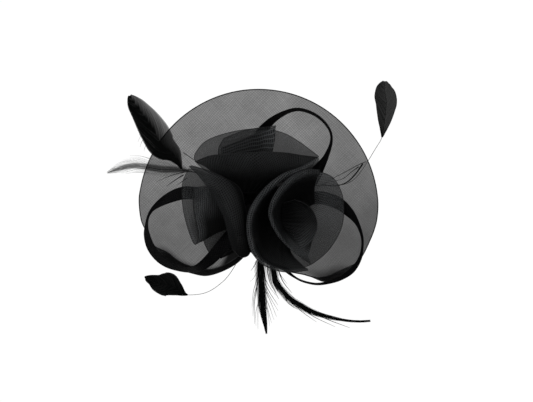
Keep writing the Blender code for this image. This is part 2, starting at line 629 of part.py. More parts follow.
def brooch():
    low, high = PIN_Z - 2.5, PIN_Z + 2.5
    hinge_x = BROOCH_HINGE_X
    near, far = (hinge_x - 1.6, STRIP_BACK + 0.2), (hinge_x + 1.6, PIN_BACK + 1.5)
    lugs = [
        box(f"brooch_lug_{side}", (*near, edge), (*far, edge + 0.7))
        for side, edge in (("low", low + 0.4), ("high", high - 1.1))
    ]
    holder = rod("catch_holder", (-17.5, PIN_BACK, PIN_Z), (-14.5, PIN_BACK, PIN_Z), 2.9)
    bore = rod("catch_bore", (-18.5, PIN_BACK, PIN_Z), (-13.5, PIN_BACK, PIN_Z), 2.05)
    mouth = box("catch_mouth", (-18.5, PIN_BACK, PIN_Z - 1.1), (-13.5, PIN_BACK + 4, PIN_Z + 1.1))
    hole = rod("rivet_hole", (hinge_x, PIN_BACK, low - 1), (hinge_x, PIN_BACK, high + 1), 0.8)
    shaped(
        box("brooch_bar", (-19, STRIP_BACK, low), (19, STRIP_BACK + STRIP, high)),
        joined=[*lugs, holder],
        cut=[bore, mouth, hole],
    )
    profile = [
        (0, 3.1), (1.1, 3.1), (1.1, 2.45), (0.5, 2.45), (0.5, -2.45), (1.1, -2.45), (1.1, -3.1), (0, -3.1),
    ]
    turned("brooch_rivet", profile, (hinge_x, PIN_BACK, PIN_Z), (0, 0, 1), segments=16)

    arm = shaped(
        rod("brooch_pin", (hinge_x - 1.2, PIN_BACK, PIN_Z), (-20, PIN_BACK, PIN_Z), PIN_RADIUS, 12),
        joined=[
            rod("pin_knuckle", (hinge_x, PIN_BACK, PIN_Z - 0.9), (hinge_x, PIN_BACK, PIN_Z + 0.9), 1.4),
            rod("pin_point", (-19.9, PIN_BACK, PIN_Z), (-22.5, PIN_BACK, PIN_Z), PIN_RADIUS - 0.02, 12, 0.06),
        ],
        cut=[rod("knuckle_hole", (hinge_x, PIN_BACK, PIN_Z - 2), (hinge_x, PIN_BACK, PIN_Z + 2), 0.8)],
    )
    about(arm, (hinge_x, PIN_BACK, PIN_Z))

    roller = shaped(
        rod("safety_catch", (-19.2, PIN_BACK, PIN_Z), (-13.4, PIN_BACK, PIN_Z), 1.7),
        joined=[box("catch_tab", (-19.2, PIN_BACK - 0.5, PIN_Z + 1.2), (-18.0, PIN_BACK + 0.5, PIN_Z + 4.6))],
        cut=[
            rod("roller_bore", (-20.5, PIN_BACK, PIN_Z), (-12, PIN_BACK, PIN_Z), 0.9),
            box("roller_slot", (-20.5, PIN_BACK, PIN_Z - 0.75), (-12, PIN_BACK + 3, PIN_Z + 0.75)),
        ],
    )
    about(roller, (-16, PIN_BACK, PIN_Z))


for old in list(bpy.data.objects):
    bpy.data.objects.remove(old, do_unlink=True)
PARTS = collection("fascinator")
CUTTERS = collection("cutters")
MATERIALS = {
    "crin": material("crin_black", (0.012, 0.012, 0.014), 0.45),
    "feather": material("feather_black", (0.008, 0.009, 0.009), 0.6),
    "felt": material("felt_black", (0.01, 0.01, 0.011), 0.95),
    "thread": material("thread_black", (0.01, 0.01, 0.01), 0.7),
    "steel": material("steel_nickel", (0.56, 0.55, 0.53), 0.3, 1.0),
}
felt_base()
veil()
loops()
upper_leaf()
left_flower()
right_rose()
feathers()
stitches()
finding_plate()
clip()
brooch()
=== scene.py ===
"""Looks of the fascinator headpiece: sheer crin mesh, braid loops, dyed feathers, felt and a metal finding.

Points are in millimetres, as (right, back, up), in the frame of the CAD model: the front faces -Y.
"""
import math

import bmesh
import bpy
import numpy as np
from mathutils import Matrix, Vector


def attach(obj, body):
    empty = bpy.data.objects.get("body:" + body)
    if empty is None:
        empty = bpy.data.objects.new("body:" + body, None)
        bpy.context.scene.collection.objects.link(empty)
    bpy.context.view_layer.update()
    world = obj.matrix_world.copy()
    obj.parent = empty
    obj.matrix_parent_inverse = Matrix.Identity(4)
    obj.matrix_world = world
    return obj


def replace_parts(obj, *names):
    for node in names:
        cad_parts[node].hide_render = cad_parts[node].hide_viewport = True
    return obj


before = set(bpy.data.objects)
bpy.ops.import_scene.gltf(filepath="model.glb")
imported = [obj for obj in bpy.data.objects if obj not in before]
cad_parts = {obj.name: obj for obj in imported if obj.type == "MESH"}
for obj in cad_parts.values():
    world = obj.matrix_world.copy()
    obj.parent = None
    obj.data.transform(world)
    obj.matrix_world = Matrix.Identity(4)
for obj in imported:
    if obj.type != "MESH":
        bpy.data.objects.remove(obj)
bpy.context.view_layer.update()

MM = 0.001
RNG = np.random.default_rng(7)

# Camera: the front view, from far enough for little perspective
SENSOR = 0.036
LENS = 0.135
VIEW_WIDTH = 0.533
VIEW_CENTRE = (0.0165, 0.0, 0.004)
FLOOR_Z = -0.26


# Shapes ------------------------------------------------------------------------------------------
SPAN_STEPS = 16  # rows of a smooth curve from one of its points to the next
CORD_RADIUS = 0.3


def smooth(points):
    """A dense Catmull-Rom curve through the rows of points."""
    p = np.array(points, float)
    p = np.vstack([2 * p[0] - p[1], p, 2 * p[-1] - p[-2]])
    rows = [p[1]]
    for a, b, c, d in zip(p, p[1:], p[2:], p[3:]):
        for t in np.linspace(0, 1, SPAN_STEPS + 1)[1:]:
            rows.append(b + 0.5 * t * (c - a + t * (2 * a - 5 * b + 4 * c - d + t * (3 * (b - c) + d - a))))
    return np.array(rows)


def interpolated(at, known, rows):
    """Rows for the places at, between rows that belong to the known places."""
    return np.stack([np.interp(at, known, column) for column in np.transpose(rows)], axis=1)


def even(points, count):
    """count rows at equal steps along the smooth curve; columns after the third follow along."""
    rows = smooth(points)
    run = np.concatenate([[0], np.cumsum(np.linalg.norm(np.diff(rows[:, :3], axis=0), axis=1))])
    return interpolated(np.linspace(0, run[-1], count), run, rows)


def unit(v):
    v = np.asarray(v, float)
    return v / np.maximum(np.linalg.norm(v, axis=-1, keepdims=True), 1e-9)


def ramp(value, low, high):
    t = np.clip((value - low) / (high - low), 0, 1)
    return t * t * (3 - 2 * t)


def loft_grid(stations, along, across):
    """A grid through edge curves: the first index runs along them, the second from edge to edge."""
    edges = [even(points, along) for points in stations]
    return np.array([even([edge[i] for edge in edges], across) for i in range(along)])


def normals(grid):
    return unit(np.cross(np.gradient(grid, axis=0), np.gradient(grid, axis=1)))


def roll_edge(grid, radii, angle, steps, side):
    """The grid with its last edge rolled over towards side(point); radii run along the edge."""
    radius = np.interp(np.linspace(0, 1, len(grid)), np.linspace(0, 1, len(radii)), radii)[:, None]
    ahead = unit(grid[:, -1] - grid[:, -2])
    over = np.array([side(p) for p in grid[:, -1]], float)
    over = unit(over - ahead * (over * ahead).sum(1, keepdims=True))
    arcs = [
        grid[:, -1] + radius * (math.sin(a) * ahead + (1 - math.cos(a)) * over)
        for a in np.linspace(0, angle, steps + 1)[1:]
    ]
    return np.concatenate([grid, np.stack(arcs, axis=1)], axis=1)


def flat_lengths(grid):
    """Cloth coordinates in millimetres: along the last edge, and across from the first one."""
    steps = np.linalg.norm(np.diff(grid[:, -1], axis=0), axis=1)
    u = np.concatenate([[0], np.cumsum(steps)])[:, None] * np.ones(grid.shape[1])
    gaps = np.linalg.norm(np.diff(grid, axis=1), axis=2)
    v = np.concatenate([np.zeros((len(grid), 1)), np.cumsum(gaps, axis=1)], axis=1)
    return np.stack([u, v], axis=2)


def smooth_mesh(name, points, faces):
    mesh = bpy.data.meshes.new(name)
    mesh.from_pydata((np.asarray(points) * MM).tolist(), [], faces)
    mesh.shade_smooth()
    return mesh


def placed(name, mesh, mat):
    """An object of the mesh, with its material and the body it rides on."""
    obj = bpy.data.objects.new(name, mesh)
    bpy.context.scene.collection.objects.link(obj)
    mesh.materials.append(MATERIALS[mat])
    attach(obj, "root")
    return obj


def grid_piece(name, grid, mat, cloth, closed=False, gather_and_shade=0.0):
    """A smooth mesh on a grid of points, with its cloth coordinates as UVs.

    gather_and_shade says how densely the cloth is gathered at each point: 0 is one open layer, 1 lets no
    light by; it also carries painted shade and painted highlights into the crin colour.
    """
    rows, cols = grid.shape[:2]
    faces, corners = [], []
    for i in range(rows - 1):
        for j in range(cols if closed else cols - 1):
            k = (j + 1) % cols
            faces.append((i * cols + j, (i + 1) * cols + j, (i + 1) * cols + k, i * cols + k))
            corners.append(((i, j), (i + 1, j), (i + 1, j + 1), (i, j + 1)))
    mesh = smooth_mesh(name, grid.reshape(-1, 3), faces)
    layer = mesh.uv_layers.new(name="cloth")
    wide = np.concatenate([cloth, cloth[:, :1]], axis=1) if closed else cloth
    flat = np.array([wide[i, j] for face in corners for i, j in face])
    layer.data.foreach_set("uv", flat.ravel())
    density_and_shade = mesh.attributes.new("gather_and_shade", "FLOAT", "POINT")
    density_and_shade.data.foreach_set("value", np.broadcast_to(gather_and_shade, grid.shape[:2]).astype(float).ravel())
    return placed(name, mesh, mat)


def tubes(name, paths, mat, sides=6):
    """Round tubes along paths of (x, y, z, radius), with closed ends, as one mesh."""
    verts, faces = [], []
    for path in paths:
        path = np.array(path, float)
        ahead = unit(np.gradient(path[:, :3], axis=0))
        across = unit(np.cross(ahead, (0.31, 0.94, 0.12)))
        up = np.cross(ahead, across)
        start = len(verts)
        for p, a, b in zip(path, across, up):
            for t in np.linspace(0, 2 * math.pi, sides, endpoint=False):
                verts.append(p[:3] + p[3] * (math.cos(t) * a + math.sin(t) * b))
        for i in range(len(path) - 1):
            for k in range(sides):
                low, high = start + i * sides, start + (i + 1) * sides
                faces.append((low + k, low + (k + 1) % sides, high + (k + 1) % sides, high + k))
        faces.append(tuple(range(start + sides - 1, start - 1, -1)))
        faces.append(tuple(range(len(verts) - sides, len(verts))))
    return placed(name, smooth_mesh(name, verts, faces), mat)


def edge_path(points, radius=CORD_RADIUS):
    """An edge of a grid as a path for tubes."""
    points = np.asarray(points)
    return np.hstack([points, np.full((len(points), 1), radius)])


def pleats(grid, count, depth, reach, phase=0.0):
    """The grid pushed along its normals in folds that fade from the first edge to reach of the way."""
    rows, cols = grid.shape[:2]
    u = np.linspace(0, 1, rows)[:, None]
    v = np.linspace(0, 1, cols)[None, :]
    wave = np.sin(2 * math.pi * (count * u + 0.35 * np.sin(5 * u + phase)) + phase)
    fade = (1 - ramp(v, 0.0, reach)) * ramp(v, -0.05, 0.12)
    return grid + normals(grid) * (depth * wave * fade)[:, :, None]


def crumple(grid, size, depth, seed):
    """The grid pushed along its normals by a few long soft waves."""
    draw = np.random.default_rng(seed)
    push = np.zeros(grid.shape[:2])
    for _ in range(6):
        way = draw.normal(size=3) / size
        push += np.sin(grid @ way + draw.uniform(0, 6.28))
    return grid + normals(grid) * (depth * push / 3)[:, :, None]


# Materials ---------------------------------------------------------------------------------------
FEATHER_COLOURS = (0.0002, 0.0003, 0.0003), (0.0013, 0.0016, 0.0015)
WANDER = 5.0  # how far crin threads stray from straight, in millimetres
WANDER_SCALE = 0.04
# Stretched noise, as scales along x, y and z
SLUBS = (1.1, 0.045, 1)  # across a thread, then along it
FELT_FIBRES = (1500, 900, 160)
STEEL_SCRATCHES = (90, 2400, 2400)


def node(tree, kind, inputs=None, **settings):
    """A node with its settings, and its inputs linked or set."""
    made = tree.nodes.new(kind)
    for key, value in settings.items():
        setattr(made, key, value)
    for socket, value in (inputs or {}).items():
        if isinstance(value, bpy.types.NodeSocket):
            tree.links.new(value, made.inputs[socket])
        else:
            made.inputs[socket].default_value = value
    return made


def maths(tree, operation, a, b=0.0, clamp=False):
    return node(tree, "ShaderNodeMath", {0: a, 1: b}, operation=operation, use_clamp=clamp).outputs[0]


def between(tree, value, low, high, to_low, to_high):
    """value from low..high mapped to to_low..to_high, and held there."""
    return node(tree, "ShaderNodeMapRange", {0: value, 1: low, 2: high, 3: to_low, 4: to_high}).outputs[0]


def noise(tree, coords, scale=1.0, detail=2.0):
    return node(tree, "ShaderNodeTexNoise", {"Vector": coords, "Scale": scale, "Detail": detail}).outputs[0]


def mapped(tree, coords, turn=(0, 0, 0), scale=(1, 1, 1)):
    """Coordinates scaled along the axes, then turned about them."""
    return node(tree, "ShaderNodeMapping", {0: coords, 2: turn, 3: scale}).outputs[0]


def colour_noise(tree, coords, scale, dark, light, detail=3.0):
    """Patches from 0 to 1, and a colour from dark to light that follows them."""
    patch = noise(tree, coords, scale, detail)
    mix = node(tree, "ShaderNodeMix", {0: patch, 6: (*dark, 1), 7: (*light, 1)}, data_type="RGBA")
    return patch, mix.outputs[2]


def bump(tree, height, strength, depth):
    """A normal that follows a height; depth is in metres."""
    inputs = {"Strength": strength, "Distance": depth, "Height": height}
    return node(tree, "ShaderNodeBump", inputs).outputs[0]


def blank(name, **values):
    """A material with its Principled shader, whose plain values are set on its own sockets."""
    mat = bpy.data.materials.new(name)
    mat.use_nodes = True
    shader = mat.node_tree.nodes["Principled BSDF"]
    for key, value in values.items():
        shader.inputs[key.replace("_", " ")].default_value = value
    return mat, mat.node_tree, shader


def wired(mat, shader, **sources):
    """The material, with node outputs linked to its shader's sockets."""
    for key, value in sources.items():
        mat.node_tree.links.new(value, shader.inputs[key.replace("_", " ")])
    return mat


def object_place(tree):
    return node(tree, "ShaderNodeTexCoord").outputs["Object"]


def weave(tree, uv, pitch):
    """Height and slubs of threads laid at 45 degrees both ways."""
    wander = maths(tree, "MULTIPLY", noise(tree, uv, WANDER_SCALE, 1.0), WANDER)
    waves, slubs = [], []
    for turn in (math.pi / 4, -math.pi / 4):
        laid = mapped(tree, uv, (0, 0, turn))
        across = maths(tree, "ADD", node(tree, "ShaderNodeSeparateXYZ", {0: laid}).outputs[0], wander)
        waves.append(maths(tree, "COSINE", maths(tree, "MULTIPLY", across, 2 * math.pi / pitch)))
        slubs.append(noise(tree, mapped(tree, laid, scale=SLUBS)))
    return maths(tree, "MAXIMUM", *waves), maths(tree, "ADD", *slubs)


def crin(name, cover, threads, slubs, mottle, pitch, dark, light, roughness, gloss):
    """Woven crin: a film that stops a share of the light, cover, and is closer where gathered; its colour
    carries painted shade where deeply gathered and a painted highlight on rolled edges.

    threads, slubs and mottle are how much the weave, its thick places and its patches change the cover.
    """
    mat, tree, shader = blank(name, Specular_IOR_Level=gloss)
    uv = node(tree, "ShaderNodeUVMap", uv_map="cloth").outputs[0]
    patch, shade = colour_noise(tree, uv, 0.045, dark, light)
    height, slub = weave(tree, uv, pitch)
    gather_and_shade = node(tree, "ShaderNodeAttribute", attribute_name="gather_and_shade").outputs["Fac"]

    # Painted light in the colour: open cloth is dimmed so that rolled edges, with a middling gather, carry a
    # painted highlight, and deeply gathered folds and hollows carry painted shade.
    painted_roll_highlight = between(tree, gather_and_shade, 0, 0.3, 0.5, 1)
    shaded = between(tree, gather_and_shade, 0.35, 1, 1, 0.06)
    thread = between(tree, height, 0.2, 1, 0.2, 3.0)
    lit = maths(tree, "MULTIPLY", thread, maths(tree, "MULTIPLY", painted_roll_highlight, shaded))
    shade = node(tree, "ShaderNodeVectorMath", {0: shade, "Scale": lit}, operation="SCALE").outputs[0]

    film = maths(tree, "MULTIPLY_ADD", height, threads)
    film.node.inputs[2].default_value = cover - 0.4 * threads - slubs - 0.5 * mottle
    uneven = maths(tree, "ADD", maths(tree, "MULTIPLY", slub, slubs), maths(tree, "MULTIPLY", patch, mottle))
    alpha = between(tree, gather_and_shade, 0, 1, maths(tree, "ADD", film, uneven, clamp=True), 1.0)

    rough = between(tree, patch, 0.3, 0.7, roughness - 0.07, roughness + 0.07)
    rough = between(tree, gather_and_shade, 0.85, 1, rough, 1.0)
    normal = bump(tree, height, 0.7, 0.0003)
    return wired(mat, shader, Base_Color=shade, Roughness=rough, Alpha=alpha, Normal=normal)


def vane_film(name, stops, streak):
    """The web of a feather: stops are (place, cover) from one edge of the vane, 0, to the other, 1."""
    mat, tree, shader = blank(name, Roughness=0.55, Specular_IOR_Level=0.03)
    uv = node(tree, "ShaderNodeUVMap", uv_map="cloth").outputs[0]
    across = node(tree, "ShaderNodeSeparateXYZ", {0: uv}).outputs[1]
    cover = node(tree, "ShaderNodeValToRGB", {0: across})
    ramp_stops = cover.color_ramp.elements
    while len(ramp_stops) < len(stops):
        ramp_stops.new(0.5)
    for stop, (place, share) in zip(ramp_stops, stops):
        stop.position = place
        stop.color = (share, share, share, 1)
    run = mapped(tree, uv, scale=(0.5, 1.6, 1))
    streaks = noise(tree, run, detail=5.0)
    cut = maths(tree, "MULTIPLY", maths(tree, "SUBTRACT", streaks, 0.5), streak)
    alpha = maths(tree, "ADD", cover.outputs[0], cut, clamp=True)
    _, shade = colour_noise(tree, run, 1.3, *FEATHER_COLOURS)
    return wired(mat, shader, Base_Color=shade, Alpha=alpha, Normal=bump(tree, streaks, 0.5, 0.0003))


def feather_black():
    """Barbs: the vane's colours in fine patches."""
    mat, tree, shader = blank("feather_black", Roughness=0.55, Specular_IOR_Level=0.03)
    patch, shade = colour_noise(tree, object_place(tree), 60, *FEATHER_COLOURS)
    return wired(mat, shader, Base_Color=shade, Normal=bump(tree, patch, 0.4, 0.0002))


def quill_dark():
    """Dyed quill, a little glossy."""
    mat, tree, shader = blank("quill_dark", Specular_IOR_Level=0.15)
    patch, shade = colour_noise(tree, object_place(tree), 90, (0.004, 0.004, 0.004), (0.02, 0.02, 0.019))
    return wired(mat, shader, Base_Color=shade, Roughness=between(tree, patch, 0.3, 0.7, 0.3, 0.5))


def cord_black():
    """Fine nylon cord along cut edges."""
    mat, tree, shader = blank("cord_black", Specular_IOR_Level=0.15)
    patch, shade = colour_noise(tree, object_place(tree), 700, (0.002, 0.002, 0.002), (0.008, 0.008, 0.009))
    rough = between(tree, patch, 0.3, 0.7, 0.4, 0.6)
    return wired(mat, shader, Base_Color=shade, Roughness=rough, Normal=bump(tree, patch, 0.5, 0.0001))


def felt_black():
    """Pressed wool: crossing short fibres over a soft mottle."""
    mat, tree, shader = blank("felt_black", Roughness=0.95, Sheen_Weight=0.5, Sheen_Roughness=0.6)
    place = object_place(tree)
    fibres = [noise(tree, mapped(tree, place, (0, turn, 0), FELT_FIBRES)) for turn in (0.4, 1.5, 2.6)]
    height = maths(tree, "MAXIMUM", maths(tree, "MAXIMUM", fibres[0], fibres[1]), fibres[2])
    _, shade = colour_noise(tree, place, 240, (0.006, 0.006, 0.007), (0.018, 0.018, 0.019), 6.0)
    return wired(mat, shader, Base_Color=shade, Normal=bump(tree, height, 0.9, 0.0004))


def thread_black():
    """Sewing thread with its plies as a fine slanted wave."""
    mat, tree, shader = blank("thread_black", Roughness=0.8, Specular_IOR_Level=0.05)
    place = object_place(tree)
    _, shade = colour_noise(tree, place, 900, (0.001, 0.001, 0.001), (0.005, 0.005, 0.0055))
    plies = node(tree, "ShaderNodeTexWave", {"Vector": place, "Scale": 420.0, "Distortion": 1.0}).outputs[1]
    return wired(mat, shader, Base_Color=shade, Normal=bump(tree, plies, 0.7, 0.0002))


def nickel(name, base, smoothest, roughest):
    """Plated steel with long faint scratches and cloudy patches."""
    mat, tree, shader = blank(name, Metallic=1.0)
    place = object_place(tree)
    patch, shade = colour_noise(tree, place, 130, tuple(c * 0.8 for c in base), base)
    lines = noise(tree, mapped(tree, place, scale=STEEL_SCRATCHES))
    rough = between(tree, patch, 0.3, 0.7, smoothest, roughest)
    return wired(mat, shader, Base_Color=shade, Roughness=rough, Normal=bump(tree, lines, 0.15, 0.0001))


# Each vane's stops across it, and how much its streaks change the cover
VANES = {
    "pad": ([(0, 0.985), (0.1, 0.996), (0.9, 0.996), (1, 0.985)], 0.004),
    "streaked": ([(0, 0.7), (0.05, 1), (0.5, 1), (0.66, 0.95), (0.95, 0.85), (1, 0.5)], 0.12),
    "paddle": ([(0, 0.985), (0.45, 0.978), (0.52, 0.965), (0.93, 0.965), (0.97, 0.99)], 0.01),
    "wispy": ([(0, 0.02), (0.32, 0.12), (0.4, 0.8), (0.58, 0.8), (0.66, 0.12), (1, 0.02)], 0.5),
    "hackle": ([(0, 0), (0.25, 0.4), (0.42, 1), (0.62, 1), (0.75, 0.4), (1, 0)], 1.3),
}
MATERIALS = {
    "veil": crin("crin_veil", cover=0.8, threads=0.06, slubs=0.09, mottle=0.09, pitch=1.9,
                 dark=(0.002, 0.002, 0.0024), light=(0.005, 0.005, 0.005), roughness=0.5, gloss=0.1),
    "petal": crin("crin_petal", cover=0.74, threads=0.1, slubs=0.09, mottle=0.08, pitch=2.2,
                  dark=(0.010, 0.0105, 0.011), light=(0.029, 0.0305, 0.0315), roughness=0.45, gloss=0.06),
    "braid": crin("crin_braid", cover=0.985, threads=0.02, slubs=0.02, mottle=0.0, pitch=1.6,
                  dark=(0.0015, 0.0015, 0.0018), light=(0.004, 0.004, 0.0045), roughness=0.5, gloss=0.04),
    "cord": cord_black(),
    "feather": feather_black(),
    "quill": quill_dark(),
    "felt": felt_black(),
    "thread": thread_black(),
    "steel": nickel("nickel_plate", (0.62, 0.61, 0.58), 0.16, 0.32),
    "spring": nickel("spring_steel", (0.5, 0.5, 0.5), 0.28, 0.42),
    **{kind: vane_film(f"vane_{kind}", stops, streak) for kind, (stops, streak) in VANES.items()},
}

# Veil --------------------------------------------------------------------------------------------
VEIL_CENTRE = (8.5, -4.0)
VEIL_RADIUS = 118.5
GATHER = (0.0, -4.0)
GATHER_RADIUS = 5.0
VEIL_FRONT = -7.0  # where the cloth stands at its middle
VEIL_DISH = -7.0  # how much further forward it is at the rim
SEAM_LAP = (2.5, -1.0, -0.5)  # moves the seam's first edge in front of its last
RIM_RADIUS = 0.55
RIM_OFFSET = 0.3
CURL_LENGTH = (6.0, 20.0)  # of the rim, at its flattest and where it curls most
CURL_ANGLE = 3.4
# In the left and the right lobe: the gather, with painted shade in the colour, and how far in from the curl
# it starts
LOBE_GATHER_AND_SHADE = (0.93, 0.92)
LOBE_REACH = (12, 30)
# Angles about the gather, in degrees, between which something comes in or dies away
LEFT_CURL = (-170, -150)
RIGHT_CURL = (-56, -42)
RIGHT_CURL_ENDS = (-38, -12)
LEFT_NOTCH = (-123, -114)
RIGHT_NOTCH = (-62, -46)
LEFT_LOBE = [
    (-0.8, -46), (-12, -57.5), (-27, -66), (-43, -70.5), (-58, -68), (-73, -62.5), (-85.5, -53), (-95.5, -41),
    (-101.5, -28), (-107.5, -15),
]
RIGHT_LOBE = [
    (125.8, -14), (122.8, -25.5), (118, -37), (112, -49), (104.5, -60), (92.5, -70.5), (81, -76), (72, -76),
    (63, -72.5), (54, -69), (39, -66), (20, -59.5), (6, -51), (0.8, -46),
]


def veil_outline():
    arc = [
        (VEIL_CENTRE[0] + VEIL_RADIUS * math.cos(a), VEIL_CENTRE[1] + VEIL_RADIUS * math.sin(a))
        for a in np.radians(np.linspace(176, 2, 27))
    ]
    return [(x, 0, z) for x, z in LEFT_LOBE + arc + RIGHT_LOBE]


def curl_share(angle):
    """How much of the full curl the rim has at an angle in degrees: all of it in the two lobes."""
    if angle < -90:
        return ramp(angle, *LEFT_CURL)
    return ramp(angle, *RIGHT_CURL) * (1 - ramp(angle, *RIGHT_CURL_ENDS))


def veil_grid(along, across, curl_steps):
    """The veil's points, cloth coordinates and gather with painted shade, in rows from its middle out to the
    curled rim.
    """
    grid, cloth, gather_and_shade = [], [], []
    for x, _, z in even(veil_outline(), along):
        reach = math.hypot(x - GATHER[0], z - GATHER[1])
        angle = math.atan2(z - GATHER[1], x - GATHER[0])
        out = np.array([math.cos(angle), 0, math.sin(angle)])
        share = curl_share(math.degrees(angle))
        length = CURL_LENGTH[0] + share * (CURL_LENGTH[1] - CURL_LENGTH[0])
        bend = 0.1 + CURL_ANGLE * share
        radius = length / bend
        flat = reach - radius * math.sin(min(bend, math.pi / 2))
        r = np.linspace(GATHER_RADIUS, flat, across)
        far = (r / VEIL_RADIUS) ** 2
        depth = VEIL_FRONT + far * (VEIL_DISH + 1.5 * math.sin(3 * angle + 1))
        depth += 0.55 * np.sin(46 * angle) * np.exp(-r / 16) + 0.5 * far * math.sin(9 * angle + 2)
        row = np.array([GATHER[0], 0, GATHER[1]]) + r[:, None] * out + depth[:, None] * np.array([0, 1, 0])
        arc = [
            row[-1] + radius * (math.sin(a) * out - (1 - math.cos(a)) * np.array([0, 1, 0]))
            for a in np.linspace(0, bend, curl_steps + 1)[1:]
        ]
        grid.append(np.vstack([row, arc]))
        run = np.concatenate([r, flat + np.linspace(0, length, curl_steps + 1)[1:]])
        cloth.append(run[:, None] * np.array([math.cos(angle), math.sin(angle)]) + 200)
        # Denser and darker towards the bottom and the right
        low = 0.35 * ramp(-row[:, 2], -60, 40) + 0.2 * ramp(row[:, 0], 30, 100)
        lobe = 0 if angle < -math.pi / 2 else 1
        # The curled lobes and the notches: denser cloth, with painted shade in the colour
        edge = share ** 1.5 * LOBE_GATHER_AND_SHADE[lobe] * ramp(run, flat - LOBE_REACH[lobe], flat + 2)
        degrees = math.degrees(angle)
        notch = 1 - ramp(degrees, *RIGHT_NOTCH) if lobe else ramp(degrees, *LEFT_NOTCH)
        edge = np.maximum(edge, 0.97 * notch * ramp(run, 20, 45))
        near = 0.95 * np.exp(-(r - GATHER_RADIUS) / 20)
        inner = np.maximum(low, near)
        gather_and_shade.append(np.maximum(np.concatenate([inner, np.full(curl_steps, low[-1])]), edge))
    return np.array(grid), np.array(cloth), np.array(gather_and_shade)


def veil():
    grid, cloth, gather_and_shade = veil_grid(along=420, across=60, curl_steps=16)
    grid[0] += SEAM_LAP
    disc = grid_piece("veil_cloth", grid, "veil", cloth, gather_and_shade=gather_and_shade)
    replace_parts(disc, "veil_disc")
    rim = grid[:, -1] + RIM_OFFSET * unit(grid[:, -1] - grid[:, -2])
    cord = tubes("veil_rim", [edge_path(rim, RIM_RADIUS)], "cord", sides=8)
    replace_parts(cord, "veil_rim_cord")


# Loops: rows are (x, y, z, turn); the braid shows its edge at a turn of 0, and its face at 90 --------
BRAID_WIDTH = 13.0
BRAID_THICKNESS = 0.9
BRAID_ROWS = 220
BRAID_SIDES = 20
LOOPS = {
    "loop_upper": [
        (0, -10, 22, 90), (4, -12.5, 46, 88), (9, -14.5, 67, 62), (19, -18.5, 81, 36), (33, -20.5, 90.5, 20),
        (47, -22.5, 94.5, 13), (61, -23, 91, 11), (72, -23, 83.5, 9), (79.5, -22, 73, 8),
        (80.5, -20, 62, 11), (75.5, -18, 48, 24), (69.5, -15.5, 38, 48), (64, -14.5, 29, 78),
        (59, -14.2, 21, 90),
    ],
    "loop_left": [
        (-6, -10, -4, 90), (-22, -11, 3, 90), (-40, -12.5, 8, 90), (-58, -15, 12, 90), (-70, -17, 11, 74),
        (-84, -20, 5, 46), (-95, -24, -3, 22), (-100, -28, -11, 14), (-101.5, -33, -20, 18),
        (-101, -36, -29, 32), (-97.4, -37, -40.5, 42), (-90.5, -37, -50.5, 42), (-81.5, -36, -57.5, 38),
        (-70, -35, -62, 30), (-58, -33, -63.5, 30), (-48, -28, -60.5, 44), (-38, -21, -52.5, 66),
        (-27, -16, -40, 88), (-13, -14.5, -23, 90),
    ],
    "loop_right": [
        (38, -10.5, 2, 90), (56, -12, 6, 90), (72, -13.5, 7, 90), (87, -17, 2, 70), (98, -21, -7, 44),
        (106, -26, -18, 18), (110.5, -31, -31, 9), (110.5, -35, -43, 8), (107.5, -37, -54, 14),
        (100, -37, -64.5, 22), (89, -35, -72, 17), (77, -31, -76.3, 11), (65.5, -26, -77.9, 8),
        (53, -22, -75.5, 7), (44, -21, -71, 8), (37, -19.5, -65, 20), (30, -15, -54, 60),
        (22, -11.5, -40, 90), (14, -11, -27, 90),
    ],
}


def braid_tube(path):
    """A flattened tube of braid that twists along its path."""
    rows = even(path, BRAID_ROWS)
    ahead = unit(np.gradient(rows[:, :3], axis=0))
    turns = np.linspace(0, 2 * math.pi, BRAID_SIDES, endpoint=False)
    grid = []
    for (x, y, z, face), step in zip(rows, ahead):
        sideways = unit(np.array([step[2], 0, -step[0]]))
        turn = math.radians(face)
        flat = math.sin(turn) * sideways + math.cos(turn) * np.array([0, 1, 0])
        thick = unit(np.cross(step, flat))
        grid.append([
            np.array([x, y, z])
            + BRAID_WIDTH / 2 * math.cos(t) * flat
            + BRAID_THICKNESS / 2 * math.sin(t) * thick
            for t in turns
        ])
    return np.array(grid)


def loops():
    for name, path in LOOPS.items():
        grid = braid_tube(path)
        around = np.linspace(0, 2 * BRAID_WIDTH, BRAID_SIDES, endpoint=False)[None, :]
        length = np.linalg.norm(np.diff(smooth(path)[:, :3], axis=0), axis=1).sum()
        run = np.linspace(0, length, BRAID_ROWS)[:, None]
        cloth = np.stack(np.broadcast_arrays(run, around), axis=2)
        strip = grid_piece(f"{name}_braid", grid, "braid", cloth, closed=True)
        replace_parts(strip, name)


